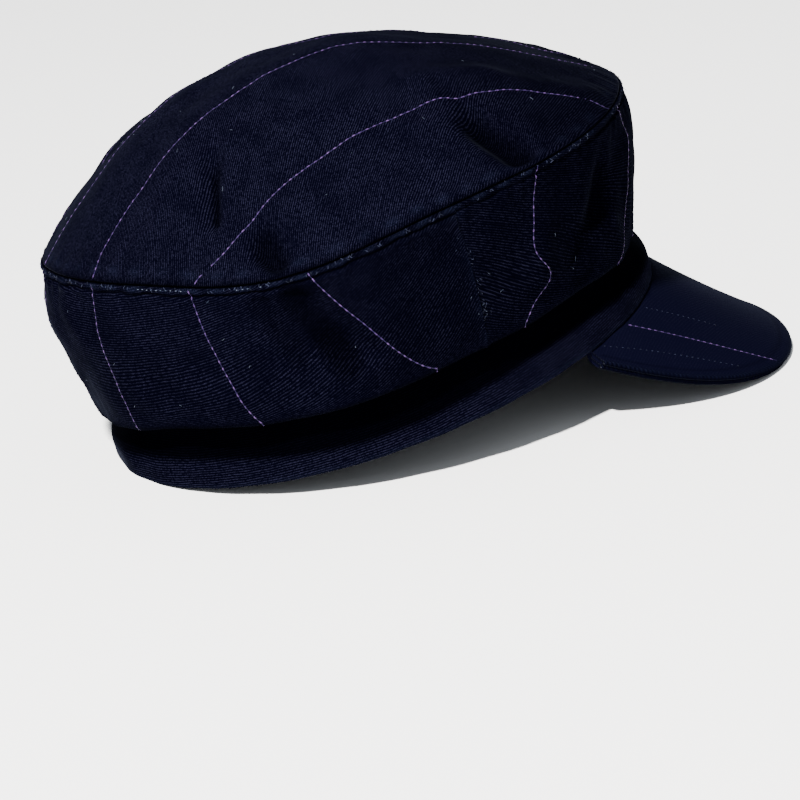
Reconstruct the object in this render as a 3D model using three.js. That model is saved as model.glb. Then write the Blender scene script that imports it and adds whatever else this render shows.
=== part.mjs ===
// A soft peaked cap in dark denim with a full crown.
//
// The cap is drawn in its band frame, in millimetres: +X to the front, +Y to the wearer's left,
// +Z up, and the origin at the middle of the headband's lower edge. Angles run from the front,
// counter-clockwise seen from above, so 90 is the wearer's left and 180 the back.
// The finished cap is then tipped back until it rests on the headband's back and the peak's edge.

import * as THREE from 'three';

// Headband: an oval ring of folded cloth
const BAND_LENGTH = 205;
const BAND_WIDTH = 169;
const BAND_TAPER = 0.05; // the oval is this share narrower at the front than at the sides
const BAND_HEIGHT = 28;
const BAND_WALL = 3;
const BEND_FROM = 6; // between these heights the band turns from its foot to its top
const BEND_TO = 20;

// Crown: side panels that swell out over the band, and a puffed top
const CLOTH = 1.8;
const TUCKED_CLOTH = 1.2; // pressed thinner where it turns in under the lower fold
const DOME_RISE = 44.5; // of the top's middle over its rim
const DOME_LEAN_BACK = 0.245; // share of the rise lost over 100 mm to the front
const DOME_LEAN_RIGHT = 0.278; // and over 100 mm to the left
const SIDE_SEAM = 272.5; // angle of the right side seam, and 360 less than it on the left
const SEAT_ON_BAND = 1.5; // how far the side panels reach in over the band's top edge
const KNEE_OUT = 0.6; // place of the bend between seat and fold, clear of the band's face
const BELLY_FROM = 26; // the fullest part is at this share of the height from here to the rim
const BELLY_SHARE = 0.55;

// Peak: two layers of cloth that slope down from the band's front
const PEAK_HALF_ANGLE = 64.8;
const PEAK_REACH = 42.8; // horizontal reach of the middle
const PEAK_SLOPE = 48.5; // degrees below the band's plane
const PEAK_FAN = 0.89; // direction of the side rays, as a share of their angle
const PEAK_ROUNDING = 3.6; // power of the fall of the reach towards the corners
const PEAK_CORNER = 1.2;
const PEAK_LIFT = 0.11; // share of the fall that the outer edge turns up
const PEAK_END = 0.965; // the corners stop at this share of the half angle
const PEAK_LAYER = 1.9;

const GAP = 0.3; // between neighbouring pieces
const REST_TILT = 10.9; // the front stands this much higher at rest
const PRESS = 0.9; // depth that the floor flattens the cloth

// How many columns run round the ring and rows up each piece. The side's rows stop at these
// places of its profile: 0 seat, 1 knee, 2 lower fold, 3 fullest part, 4 rim.
const COLUMNS = 72;
const SIDE_STOPS = [0, 1, 1.5, 2, 2.25, 2.5, 2.75, 3, 3.5];
const SIDE_ROWS = SIDE_STOPS.length;
const TOP_ROWS = 13;
const PEAK_COLUMNS = 30;
const PEAK_ROWS = 6;

// Outline every 30 degrees from the front. The columns are distances beyond the band's oval, of
// the band's foot and top, and of the crown's lower fold, fullest part and rim seam, and heights.
const CROWN = [
  { foot: 0.0, top: -6.0, foldOut: -2.2, foldZ: 14.0, bellyOut: 5.5, rimOut: 4.2, rimZ: 72.2 },
  { foot: 0.0, top: -5.5, foldOut: -2.6, foldZ: 16.5, bellyOut: 7.0, rimOut: 8.3, rimZ: 75.7 },
  { foot: 0.0, top: -1.5, foldOut: 4.5, foldZ: 25.4, bellyOut: 10.0, rimOut: 11.8, rimZ: 78.0 },
  { foot: 0.0, top: 0.0, foldOut: 6.2, foldZ: 25.8, bellyOut: 10.9, rimOut: 12.2, rimZ: 79.3 },
  { foot: 0.0, top: -1.0, foldOut: 4.6, foldZ: 22.0, bellyOut: 10.0, rimOut: 10.8, rimZ: 79.0 },
  { foot: 1.0, top: -5.0, foldOut: 1.6, foldZ: 14.5, bellyOut: 8.8, rimOut: 5.0, rimZ: 74.9 },
  { foot: 1.1, top: -5.0, foldOut: 2.2, foldZ: 18.0, bellyOut: 7.0, rimOut: 3.8, rimZ: 79.9 },
  { foot: 0.0, top: -1.5, foldOut: 4.3, foldZ: 26.0, bellyOut: 7.3, rimOut: 3.4, rimZ: 79.6 },
  { foot: 0.0, top: 0.0, foldOut: 6.5, foldZ: 24.8, bellyOut: 9.3, rimOut: 8.5, rimZ: 74.6 },
  { foot: 0.0, top: 0.0, foldOut: 5.9, foldZ: 26.4, bellyOut: 10.8, rimOut: 11.3, rimZ: 78.6 },
  { foot: 0.0, top: -1.5, foldOut: 4.5, foldZ: 25.4, bellyOut: 9.8, rimOut: 15.1, rimZ: 77.6 },
  { foot: 0.0, top: -5.5, foldOut: -3.0, foldZ: 16.5, bellyOut: 6.8, rimOut: 9.0, rimZ: 74.4 },
];

// Folds of the top, each along a line in plan. A depth below zero is a ridge.
const TOP_FOLDS = [
  { from: [-40, -24], to: [-64, -63], depth: 5.0, width: 6 }, // long crease behind the middle
  { from: [-62, -30], to: [-80, -50], depth: -2.0, width: 12 },
  { from: [-51, -72], to: [-50, -79], depth: 4.0, width: 8 }, // hollow by the rim seam
  { from: [28, -65], to: [35, -86], depth: 5.5, width: 6 }, // valley on the right of the front
  { from: [24, -58], to: [44, -58], depth: -3.5, width: 8 }, // ridge at its head
  { from: [56, -62], to: [78, -62], depth: -2.0, width: 8 },
  { from: [-16, -69], to: [2, -69], depth: 3.0, width: 13 }, // slack between crease and valley
  { from: [-40, -24], to: [22, -20], depth: -2.0, width: 14 },
  { from: [20, 40], to: [52, 66], depth: 3.5, width: 9 },
  { from: [-58, 30], to: [-70, 54], depth: 3.0, width: 8 },
];

// Folds of the side panels, from and to an angle and a height
const SIDE_FOLDS = [
  { from: [241, 69], to: [247, 43], depth: 4.0, width: 6 },
  { from: [235, 71], to: [239, 50], depth: 2.0, width: 5 },
  { from: [289, 56], to: [286, 40], depth: -2.0, width: 7 },
  { from: [297, 34], to: [302, 44], depth: 3.0, width: 8 },
  { from: [309, 56], to: [307, 46], depth: 3.0, width: 8 },
  { from: [118, 68], to: [112, 46], depth: 3.0, width: 7 },
  { from: [62, 64], to: [68, 44], depth: 3.0, width: 8 },
];

const DENIM = '#10142a';
const PALE_DENIM = '#161a30';

const radians = THREE.MathUtils.degToRad;
const lerp = THREE.MathUtils.lerp;

// Smooth curve through four values, between the second and the third
function catmullRom(a, b, c, d, u) {
  const linear = c - a;
  const square = 2 * a - 5 * b + 4 * c - d;
  const cube = 3 * b - a - 3 * c + d;
  return 0.5 * (2 * b + linear * u + square * u * u + cube * u * u * u);
}

// A column of the CROWN table at any angle
function crownAt(column, angle) {
  const count = CROWN.length;
  const place = (((angle % 360) + 360) % 360) / (360 / count);
  const row = Math.floor(place);
  const value = (step) => CROWN[(row + step + count) % count][column];
  return catmullRom(value(-1), value(0), value(1), value(2), place - row);
}

// A point of the band's oval, moved out by a distance along the oval's normal
function planPoint(angle, out, z) {
  const t = radians(angle);
  const a = BAND_LENGTH / 2;
  const b = BAND_WIDTH / 2;
  const x = a * Math.cos(t);
  const y = b * Math.sin(t) * (1 - BAND_TAPER * Math.cos(t));
  const tangentX = -a * Math.sin(t);
  const tangentY = b * (Math.cos(t) - BAND_TAPER * Math.cos(2 * t));
  const length = Math.hypot(tangentX, tangentY);
  return new THREE.Vector3(x + (out * tangentY) / length, y - (out * tangentX) / length, z);
}

function distanceToSegment(x, y, fold, scaleX) {
  const [ax, ay] = [fold.from[0] * scaleX, fold.from[1]];
  const [bx, by] = [fold.to[0] * scaleX, fold.to[1]];
  const [dx, dy] = [bx - ax, by - ay];
  const along = ((x * scaleX - ax) * dx + (y - ay) * dy) / (dx * dx + dy * dy);
  const u = THREE.MathUtils.clamp(along, 0, 1);
  return Math.hypot(x * scaleX - ax - u * dx, y - ay - u * dy);
}

// How far the folds press a place of the cloth in
function foldDepth(folds, x, y, scaleX = 1) {
  return folds.reduce((sum, fold) => {
    const distance = distanceToSegment(x, y, fold, scaleX) / fold.width;
    return sum + fold.depth * Math.exp(-distance * distance);
  }, 0);
}

// How far the band's outer face stands beyond the oval: it bends from its foot to its top
function bandOut(angle, z) {
  const bend = THREE.MathUtils.smoothstep(z, BEND_FROM, BEND_TO);
  return lerp(crownAt('foot', angle), crownAt('top', angle), bend);
}

// The crown's side: v runs from 0 on the band's top edge, round the lower fold, to 4 at the rim
function sidePoint(angle, v) {
  const foldOut = crownAt('foldOut', angle);
  const foldZ = crownAt('foldZ', angle);
  const rimOut = crownAt('rimOut', angle);
  const rimZ = crownAt('rimZ', angle);
  const bellyOut = crownAt('bellyOut', angle);
  const bellyZ = lerp(BELLY_FROM, rimZ, BELLY_SHARE);
  const seatOut = crownAt('top', angle) - SEAT_ON_BAND;
  const kneeOut = crownAt('top', angle) + KNEE_OUT;
  const seatZ = BAND_HEIGHT + GAP;
  const outs = [2 * seatOut - kneeOut, seatOut, kneeOut, foldOut, bellyOut, rimOut, 2 * rimOut - bellyOut];
  const heights = [seatZ, seatZ, seatZ, foldZ, bellyZ, rimZ, rimZ + 0.8 * (rimZ - bellyZ)];
  const stretch = Math.min(Math.floor(v), 3);
  const out = catmullRom(...outs.slice(stretch, stretch + 4), v - stretch);
  const z = catmullRom(...heights.slice(stretch, stretch + 4), v - stretch);
  const fade = THREE.MathUtils.smoothstep(rimZ - z, 0, 8) * THREE.MathUtils.smoothstep(z, 30, 38);
  const degreeArc = radians(BAND_LENGTH / 2);
  return planPoint(angle, out - fade * foldDepth(SIDE_FOLDS, (angle + 360) % 360, z, degreeArc), z);
}

// The inner edge of the side's seat, straight above its outer edge
function seatInside(angle) {
  const out = crownAt('top', angle) - SEAT_ON_BAND;
  return planPoint(angle, out, BAND_HEIGHT + GAP + TUCKED_CLOTH);
}

const MIDDLE_RIM_Z = CROWN.reduce((sum, row) => sum + row.rimZ, 0) / CROWN.length;

// The crown's top: reach is 1 at the rim and 0 in the middle
function topPoint(angle, reach) {
  const rimZ = crownAt('rimZ', angle);
  const rim = planPoint(angle, crownAt('rimOut', angle), rimZ);
  const x = rim.x * reach;
  const y = rim.y * reach;
  const lean = 1 - (DOME_LEAN_BACK * x) / 100 - (DOME_LEAN_RIGHT * y) / 100;
  const puff = DOME_RISE * (1 - reach * reach) * lean;
  const flat = MIDDLE_RIM_Z + (rimZ - MIDDLE_RIM_Z) * reach * reach;
  const fade = THREE.MathUtils.smoothstep(1 - reach, 0, 0.07);
  return new THREE.Vector3(x, y, flat + puff - fade * foldDepth(TOP_FOLDS, x, y));
}

// The peak's upper face: side runs from -1 at the right corner to 1 at the left, v from the band
// to the outer edge, and depth goes down through its layers
function peakPoint(side, v, depth) {
  const angle = PEAK_HALF_ANGLE * side;
  const reach = PEAK_REACH * Math.pow(1 - Math.pow(Math.abs(side), PEAK_ROUNDING), PEAK_CORNER);
  const run = reach * v;
  const fall = run * Math.tan(radians(PEAK_SLOPE)) * (1 - PEAK_LIFT * v);
  const ray = radians(PEAK_FAN * angle);
  const root = planPoint(angle, 0, -GAP);
  const across = depth * Math.sin(radians(PEAK_SLOPE));
  const down = depth * Math.cos(radians(PEAK_SLOPE)) * Math.min(1, v * PEAK_ROWS);
  const x = root.x + (run - across) * Math.cos(ray);
  const y = root.y + (run - across) * Math.sin(ray);
  return new THREE.Vector3(x, y, root.z - fall - down);
}

// The columns' angles, starting on the left end of the right side seam
function columnAngle(column) {
  return SIDE_SEAM - 360 + (360 * column) / COLUMNS;
}

// Normals of a grid of points, by the differences between neighbours
function gridNormals(rows, closed) {
  const last = rows.length - 1;
  return rows.map((row, r) => row.map((point, c) => {
    const count = row.length;
    const before = closed ? row[(c + count - 1) % count] : row[Math.max(c - 1, 0)];
    const after = closed ? row[(c + 1) % count] : row[Math.min(c + 1, count - 1)];
    const round = after.clone().sub(before);
    const up = rows[Math.min(r + 1, last)][c].clone().sub(rows[Math.max(r - 1, 0)][c]);
    return round.cross(up).normalize();
  }));
}

// A closed solid between an outer and an inner grid of points. A closed grid joins round to its
// first column. A grid with a pole closes over its last row by one middle point.
function solidBetween(outer, inner, { closed = false, pole = null } = {}) {
  const rows = outer.length;
  const columns = outer[0].length;
  const spans = closed ? columns : columns - 1;
  const points = [...outer.flat(), ...inner.flat()];
  const index = [];
  const at = (skin, r, c) => skin * rows * columns + r * columns + (c % columns);
  const quad = (a, b, c, d) => index.push(a, b, c, a, c, d);
  for (let c = 0; c < spans; c += 1) {
    for (let r = 0; r < rows - 1; r += 1) {
      quad(at(0, r, c), at(0, r, c + 1), at(0, r + 1, c + 1), at(0, r + 1, c));
      quad(at(1, r, c), at(1, r + 1, c), at(1, r + 1, c + 1), at(1, r, c + 1));
    }
    quad(at(0, 0, c), at(1, 0, c), at(1, 0, c + 1), at(0, 0, c + 1));
    if (pole === null) {
      const top = rows - 1;
      quad(at(0, top, c), at(0, top, c + 1), at(1, top, c + 1), at(1, top, c));
    }
  }
  if (pole !== null) {
    const outerPole = points.push(pole.outer) - 1;
    const innerPole = points.push(pole.inner) - 1;
    for (let c = 0; c < spans; c += 1) {
      index.push(at(0, rows - 1, c), at(0, rows - 1, c + 1), outerPole);
      index.push(at(1, rows - 1, c), innerPole, at(1, rows - 1, c + 1));
    }
  }
  if (!closed) {
    const end = columns - 1;
    for (let r = 0; r < rows - 1; r += 1) {
      quad(at(0, r, 0), at(0, r + 1, 0), at(1, r + 1, 0), at(1, r, 0));
      quad(at(0, r, end), at(1, r, end), at(1, r + 1, end), at(0, r + 1, end));
    }
  }
  const geometry = new THREE.BufferGeometry();
  geometry.setAttribute('position', new THREE.Float32BufferAttribute(points.flatMap((p) => p.toArray()), 3));
  geometry.setIndex(index);
  return geometry;
}

// The floor as a plane of the band frame, touching the cap's lowest points once they are pressed
function floorPlane(geometries) {
  const up = new THREE.Vector3(Math.sin(radians(REST_TILT)), 0, Math.cos(radians(REST_TILT)));
  const point = new THREE.Vector3();
  let lowest = Infinity;
  for (const geometry of geometries) {
    const positions = geometry.getAttribute('position');
    for (let i = 0; i < positions.count; i += 1) {
      lowest = Math.min(lowest, point.fromBufferAttribute(positions, i).dot(up));
    }
  }
  return new THREE.Plane(up, -(lowest + PRESS));
}

// Cloth that would reach below the floor is flattened onto it
function flattenOn(plane, geometry) {
  const positions = geometry.getAttribute('position');
  const point = new THREE.Vector3();
  for (let i = 0; i < positions.count; i += 1) {
    point.fromBufferAttribute(positions, i);
    const height = plane.distanceToPoint(point);
    if (height < 0) {
      point.addScaledVector(plane.normal, -height);
      positions.setXYZ(i, point.x, point.y, point.z);
    }
  }
}

// The crown's outer skin in one piece, from the band's top edge over the rim to near the middle,
// and its inner skin one cloth deeper, so that neighbouring pieces meet in a mitre
function crownSkins() {
  const angles = Array.from({ length: COLUMNS }, (_, column) => columnAngle(column));
  const sides = SIDE_STOPS.map((stop) => angles.map((angle) => sidePoint(angle, stop)));
  const tops = Array.from({ length: TOP_ROWS }, (_, r) => {
    return angles.map((angle) => topPoint(angle, 1 - r / TOP_ROWS));
  });
  const outer = [...sides, ...tops];
  const normals = gridNormals(outer, true);
  const inner = outer.map((row, r) => {
    const cloth = SIDE_STOPS[r] <= 2 ? TUCKED_CLOTH : CLOTH;
    return row.map((p, c) => p.clone().addScaledVector(normals[r][c], -cloth));
  });
  inner[0] = angles.map(seatInside);
  return { outer, inner };
}

// Moves a row towards its neighbour by half the gap that a seam leaves
function trimmedRow(row, neighbour) {
  return row.map((p, c) => {
    const toward = neighbour[c].clone().sub(p);
    return p.clone().addScaledVector(toward.normalize(), GAP / 2);
  });
}

function crownTop({ outer, inner }) {
  const trim = (rows) => [trimmedRow(rows[SIDE_ROWS], rows[SIDE_ROWS + 1]), ...rows.slice(SIDE_ROWS + 1)];
  const middle = topPoint(0, 0);
  const below = middle.clone().setZ(middle.z - CLOTH);
  return solidBetween(trim(outer), trim(inner), { closed: true, pole: { outer: middle, inner: below } });
}

// One of the two side panels, between two columns of the crown
function crownSide({ outer, inner }, firstColumn, lastColumn) {
  const cut = (rows) => {
    const panel = rows.slice(0, SIDE_ROWS + 1).map((row) => {
      const part = [];
      for (let column = firstColumn; column <= lastColumn; column += 1) {
        part.push(row[column % COLUMNS].clone());
      }
      const end = part.length - 1;
      const [start] = trimmedRow([part[0]], [part[1]]);
      const [finish] = trimmedRow([part[end]], [part[end - 1]]);
      return [start, ...part.slice(1, end), finish];
    });
    const rim = trimmedRow(panel[SIDE_ROWS], panel[SIDE_ROWS - 1]);
    return [...panel.slice(0, SIDE_ROWS), rim];
  };
  return solidBetween(cut(outer), cut(inner));
}

function headband() {
  const heights = [0, BEND_FROM, BEND_FROM + 4, BEND_FROM + 7, BEND_FROM + 10, BEND_TO, BAND_HEIGHT];
  const angles = Array.from({ length: COLUMNS }, (_, column) => columnAngle(column));
  const ring = (out) => heights.map((z) => {
    return angles.map((angle) => planPoint(angle, bandOut(angle, z) + out, z));
  });
  return solidBetween(ring(0), ring(-BAND_WALL), { closed: true });
}

// One layer of the peak, from depth to depth below its upper face
function peakLayer(upperDepth, lowerDepth) {
  const skin = (depth) => {
    const rows = [];
    for (let r = 0; r <= PEAK_ROWS; r += 1) {
      const row = [];
      for (let c = 0; c <= PEAK_COLUMNS; c += 1) {
        const side = PEAK_END * Math.sin(((2 * c) / PEAK_COLUMNS - 1) * (Math.PI / 2));
        row.push(peakPoint(side, r / PEAK_ROWS, depth));
      }
      rows.push(row);
    }
    return rows.reverse();
  };
  return solidBetween(skin(upperDepth), skin(lowerDepth));
}

function denim(colour) {
  return new THREE.MeshStandardMaterial({ color: colour, roughness: 0.9, metalness: 0 });
}

const skins = crownSkins();
const FRONT_COLUMNS = Math.round((COLUMNS * 2 * (360 - SIDE_SEAM)) / 360);
const pieces = {
  crown_top: { geometry: crownTop(skins), colour: DENIM },
  crown_side_front: { geometry: crownSide(skins, 0, FRONT_COLUMNS), colour: DENIM },
  crown_side_back: { geometry: crownSide(skins, FRONT_COLUMNS, COLUMNS), colour: DENIM },
  headband: { geometry: headband(), colour: DENIM },
  peak_upper: { geometry: peakLayer(0, PEAK_LAYER), colour: DENIM },
  peak_under: { geometry: peakLayer(PEAK_LAYER + GAP, 2 * PEAK_LAYER + GAP), colour: PALE_DENIM },
};

const floor = floorPlane(Object.values(pieces).map((piece) => piece.geometry));
const cap = new THREE.Group();
for (const [name, { geometry, colour }] of Object.entries(pieces)) {
  flattenOn(floor, geometry);
  geometry.computeVertexNormals();
  const mesh = new THREE.Mesh(geometry, denim(colour));
  mesh.name = name;
  cap.add(mesh);
}

// Tipped back to rest on the floor, with the middle of its footprint at the origin
cap.rotation.y = -radians(REST_TILT);
cap.updateMatrixWorld(true);
const box = new THREE.Box3().setFromObject(cap, true);
const middle = box.getCenter(new THREE.Vector3());
cap.position.set(-middle.x, -middle.y, -box.min.z);
cap.updateMatrixWorld(true);

const part = new THREE.Group();
part.add(cap);

export default part;
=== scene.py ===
"""A soft peaked cap in dark pinstriped denim, resting on a pale surface.

The cloth is drawn in the cap's band frame, in millimetres: +X to the front, +Y to the wearer's left,
+Z up, with the origin at the middle of the headband's lower edge. Angles run from the front,
counter-clockwise seen from above, in degrees. to_part() sets it in the part's frame, in metres.
"""
import math

import bpy
import numpy as np
from mathutils import Matrix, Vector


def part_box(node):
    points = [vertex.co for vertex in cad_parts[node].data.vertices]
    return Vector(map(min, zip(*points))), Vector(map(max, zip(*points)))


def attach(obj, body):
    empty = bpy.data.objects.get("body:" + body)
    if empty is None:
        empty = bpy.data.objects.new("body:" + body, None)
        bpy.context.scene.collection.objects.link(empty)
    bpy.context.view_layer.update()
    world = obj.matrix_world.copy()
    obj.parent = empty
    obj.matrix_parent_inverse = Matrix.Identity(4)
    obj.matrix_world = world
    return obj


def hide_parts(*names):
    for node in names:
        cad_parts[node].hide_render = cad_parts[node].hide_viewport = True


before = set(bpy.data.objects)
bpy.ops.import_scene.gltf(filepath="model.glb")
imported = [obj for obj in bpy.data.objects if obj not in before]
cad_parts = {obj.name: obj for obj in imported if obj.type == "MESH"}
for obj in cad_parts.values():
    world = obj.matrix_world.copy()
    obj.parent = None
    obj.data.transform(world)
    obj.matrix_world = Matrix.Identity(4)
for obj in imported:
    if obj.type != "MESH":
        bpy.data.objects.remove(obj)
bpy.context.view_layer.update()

MM = 0.001
RNG = np.random.default_rng(4564)

# Headband, the same sizes as the solid
BAND_LENGTH = 205
BAND_WIDTH = 169
BAND_TAPER = 0.05
BAND_HEIGHT = 28
BAND_WALL = 3
BEND_FROM = 6
BEND_TO = 20

# Crown
CLOTH = 1.8
TUCKED_CLOTH = 1.2
DOME_RISE = 44.5
DOME_LEAN_BACK = 0.245
DOME_LEAN_RIGHT = 0.278
SIDE_SEAM = 272.5
SEAT_ON_BAND = 1.5
KNEE_OUT = 0.6
BELLY_FROM = 26
BELLY_SHARE = 0.55

# Peak
PEAK_HALF_ANGLE = 64.8
PEAK_REACH = 42.8
PEAK_SLOPE = 48.5
PEAK_FAN = 0.89
PEAK_ROUNDING = 3.6
PEAK_CORNER = 1.2
PEAK_LIFT = 0.11
PEAK_END = 0.965
PEAK_LAYER = 1.9

GAP = 0.3
REST_TILT = 10.9

# Outline every 30 degrees from the front: distances beyond the band's oval, of the band's foot and
# top and of the crown's lower fold, fullest part and rim seam, and heights
CROWN_COLUMNS = ["foot", "top", "foldOut", "foldZ", "bellyOut", "rimOut", "rimZ"]
CROWN = np.array([
    [0, -6, -2.2, 14, 5.5, 4.2, 72.2],
    [0, -5.5, -2.6, 16.5, 7, 8.3, 75.7],
    [0, -1.5, 4.5, 25.4, 10, 11.8, 78],
    [0, 0, 6.2, 25.8, 10.9, 12.2, 79.3],
    [0, -1, 4.6, 22, 10, 10.8, 79],
    [1, -5, 1.6, 14.5, 8.8, 5, 74.9],
    [1.1, -5, 1.4, 20.5, 6.8, 3.8, 79.9],
    [0, -1.5, 3.9, 27, 7.3, 3.4, 79.6],
    [0, 0, 6.5, 24.8, 9.3, 8.5, 74.6],
    [0, 0, 5.9, 26.4, 10.8, 11.3, 78.6],
    [0, -1.5, 4.5, 25.4, 9.8, 15.1, 77.6],
    [0, -5.5, -3, 16.5, 6.8, 9, 74.4],
])


def crease(start, end, depth, width, grows=None, shade=0):
    """A fold along a line. A depth below zero makes it a ridge.

    grows is where along the line it sets in, and shade is how dark painted shade makes its depth.
    """
    return dict(start=start, end=end, depth=depth, width=width, grows=grows, shade=shade)


# Folds of the top along lines in plan, the finer ones last
TOP_FOLDS = [
    crease((-43, -31), (-62, -56), 3.6, 3.8, grows=(-0.05, 0.6)),
    crease((-62, -30), (-80, -50), -2, 12),
    crease((-53, -73), (-53, -79), 6, 4.8, shade=0.75),
    crease((26, -70), (36, -86), 8, 6.5, grows=(-0.1, 0.35), shade=0.85),
    crease((24, -58), (44, -58), -3.5, 8),
    crease((56, -62), (78, -62), -2, 8),
    crease((-16, -69), (2, -69), 1.2, 15),
    crease((-40, -24), (22, -20), -2, 14),
    crease((20, 40), (52, 66), 3.5, 9),
    crease((-58, 30), (-70, 54), 3, 8),
    crease((-36, 42), (-24, 30), 1.4, 12),
    crease((-58, 54), (-50, 48), -1.3, 8),
    crease((16, 12), (72, 18), 1.3, 14),
    crease((-51, -42), (-61, -56), 1.6, 1.5, grows=(-0.1, 0.3), shade=0.85),
    crease((26, -60), (36, -80), 1.2, 3),
    crease((10, -72), (22, -76), -0.8, 5),
]

# Folds of the side panels, from and to an angle and a height
SIDE_FOLDS = [
    crease((241, 69), (247, 43), 4, 6, shade=0.75),
    crease((235, 71), (239, 50), 2, 5, shade=0.4),
    crease((289, 56), (286, 40), -2, 7),
    crease((297, 34), (302, 44), 3, 8, shade=0.7),
    crease((309, 56), (307, 46), 3, 8, shade=0.8),
    crease((118, 68), (112, 46), 3, 7),
    crease((62, 64), (68, 44), 3, 8),
    crease((243, 70), (252, 40), 1.6, 3),
    crease((237, 72), (244, 52), -0.9, 3),
    crease((313, 70), (311, 52), -1, 4),
    crease((301, 40), (312, 34), -1.2, 4),
    crease((338, 66), (343, 60), -1.4, 9),
]

# The stripes of the side panels: the angles at which one leaves the rim, crosses the fullest part
# and reaches the lower fold, and how far it bulges between these two
BACK_STRIPES = [
    (101, 96, 89, 0),
    (125, 121, 115, 0),
    (149, 146, 141, 0),
    (173, 171, 169, 0),
    (197, 196, 195, 0),
    (222, 224, 228, 0),
    (245, 251, 262, 0),
]
FRONT_STRIPES = [
    (-70, -74, -79, 4),
    (-41, -36, -48, 0),
    (-16, -17, -21, 0),
    (9, 9, 10, 0),
    (34, 36, 40, 0),
    (58, 62, 69, 0),
    (81, 86, 94, 0),
]
# Where stripes cross the top, as distances to the wearer's left, and how far each turns in at the back
TOP_STRIPES = [(-66, 2.2), (-27, 0), (12, 0), (51, 0), (88, 0)]
PEAK_STRIPES = [-62.5]
STRIPE_SPACING = 39
# Rows of dark stitching on each half of the peak: distances to the side at its root and at its edge,
# and the share of the peak's reach that shows them
QUILT_ROWS = [(53.5, 50.5, 0.5), (71, 71, 0.88)]
# Angles between which pale stitches show in the rim seam
SEAM_FLECKS = [(210, 221), (231.5, 234.5), (236, 237.5)]
SEAM_YARNS = 300
SIDE_SEAM_YARNS = 80
LINT_COUNT = 70

# The top from its middle to its rim, in mm, and the share of it in which the folds fade to the seam
TOP_REACH = 90
TOP_FADE = 0.07
# Middle and width of the puckers along the rim, in mm from it, on the top and on the side
TOP_PUCKER = (2.5, 5.5)
SIDE_PUCKER = (3.0, 5.0)
# Middle and width, in stops, of the place where a stripe bulges
STRIPE_BULGE = (2.5, 0.22)

# Forms along the rim seam, as height, middle and width in mm below it: a rolled lip, the stitched
# groove under it and a ledge of turned cloth
RIM_LIP = (0.5, 1.3, 0.9)
RIM_GROOVE = (-0.42, 3.2, 0.6)
RIM_LEDGE = (0.22, 4.4, 0.9)
GROOVE_SWAY = 0.35
GROOVE_RUCK = 0.5
SEAM_ROLL = 1.1
FLANGE = 4.0
FLANGE_CLOTH = 1.0
FLANGE_FILLET = 0.4
SIDE_PROUD = 0.25

# A side panel: its height and its cloth's length for each stop, the usual height of the rim, how its
# ends overlap and roll in, how its columns crowd there, and the most degrees that its weft leans
PANEL_STOP = 26
PANEL_CLOTH_STOP = 27
USUAL_RIM_Z = 77
SIDE_MARGIN = -0.04
END_ROLL = 0.45
END_ROLL_REACH = 0.45
END_CROWDING = 0.04
MOST_LEAN = 34

# Rows of the crown's meshes, outside and inside: from, to and how many, by reach or by stop
TOP_ROWS = ((0.985, 0.9, 26), (0.9, 0.02, 84))
TOP_INNER_ROWS = ((0.965, 0.88, 8), (0.88, 0.02, 30))
SIDE_ROWS = ((0, 2, 15), (2, 3.6, 40), (3.6, 3.96, 28))
SIDE_INNER_ROWS = ((3.9, 2.0, 22), (2.0, 0.0, 12))
RING_COLUMNS = 480
SIDE_COLUMNS = 330
ROLL_STEPS = 7

# Cloth rubbed pale: share, middle and width in mm, and how far it is usually rubbed along its length
TOP_WEAR = (0.35, 2.4, 0.9)
RIM_WEAR = (0.65, 1.3, 1)
FOOT_WEAR = (0.3, 0.9, 1.1)
TOP_RUBBED = 0.35
RIM_RUBBED = 0.45
END_RUBBED = 0.5
# By a side panel's ends: share, degrees over which it fades, and mm below the rim where it starts
END_WEAR = 0.35
END_WEAR_REACH = 0.8
END_WEAR_FROM = 3

# Painted shade: shares, widths in mm, and between which mm, stops or degrees it sets in
TOP_FRONT = (0, 70)
TOP_FRONT_DARK = 0.5
TOP_SEAM_DARK = 1.1
RIM_SEAM_DARK = 0.7
CREASE_DARK = 0.95
TUCKED = (2.15, 1.75)
RIGHT_FRONT = (-100, -60)
RIGHT_BACK = (200, 250)
RIGHT_BACK_SHARE = 0.45
GROOVE_DARK = 0.4
GROOVE_DARK_IN_FRONT = 0.5
NEAR_SEAM = (235, 262)
FAR_SEAM = 93
PANEL_SHADE = 0.35

# The band's rounded top edge, and its waves: full up to a height, fading to its top, cut off outwards
BAND_ROUND = 0.6
BAND_WAVE_FULL = 12
BAND_WAVE_MOST = 0.25
BAND_WAVE_SHARE = 0.6
# Where the inside of the band lies in its flat cloth, in mm
BAND_INSIDE_CLOTH = 60
# Where the crown's painted shadow on the band starts: a height that sways round the head, with a crest
# at one angle
SHADOW_HEIGHT = 9.2
SHADOW_SWAY = 2
SHADOW_TURNS = 4.3
SHADOW_CREST = 207
SHADOW_FADE = 1.8

PEAK_COLUMNS = 420
PEAK_ROWS = 48
# How far the peak's root is tucked in, and up into the band, in mm
ROOT_TUCK = 1.4
ROOT_SUNK = 0.75
# The peak's edge: its stitches and the groove inside it, as height or share, middle and width in mm
EDGE_STITCH = 1.7
EDGE_BUMP = (0.16, 0, 1.4)
EDGE_GROOVE = (-0.14, 3.6, 0.8)
GROOVE_FROM = 0.3
NOSE = 0.6
NOSE_BEADS = 0.3
PEAK_CLOTH_STRETCH = (1.3, 1.0)
EDGE_WEAR = 0.35
EDGE_WEAR_BETWEEN = 0.1
# Painted shade: between the edge's stitches, in the groove, on the edge's nose and on the first rows
# under it
EDGE_DARK = (0.8, 0, 1.3)
EDGE_GROOVE_DARK = (0.3, 3.6, 0.7)
NOSE_DARK = 0.85
NOSE_DARK_BEADS = 0.4
UNDERSIDE_DARK_ROWS = 3

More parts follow.
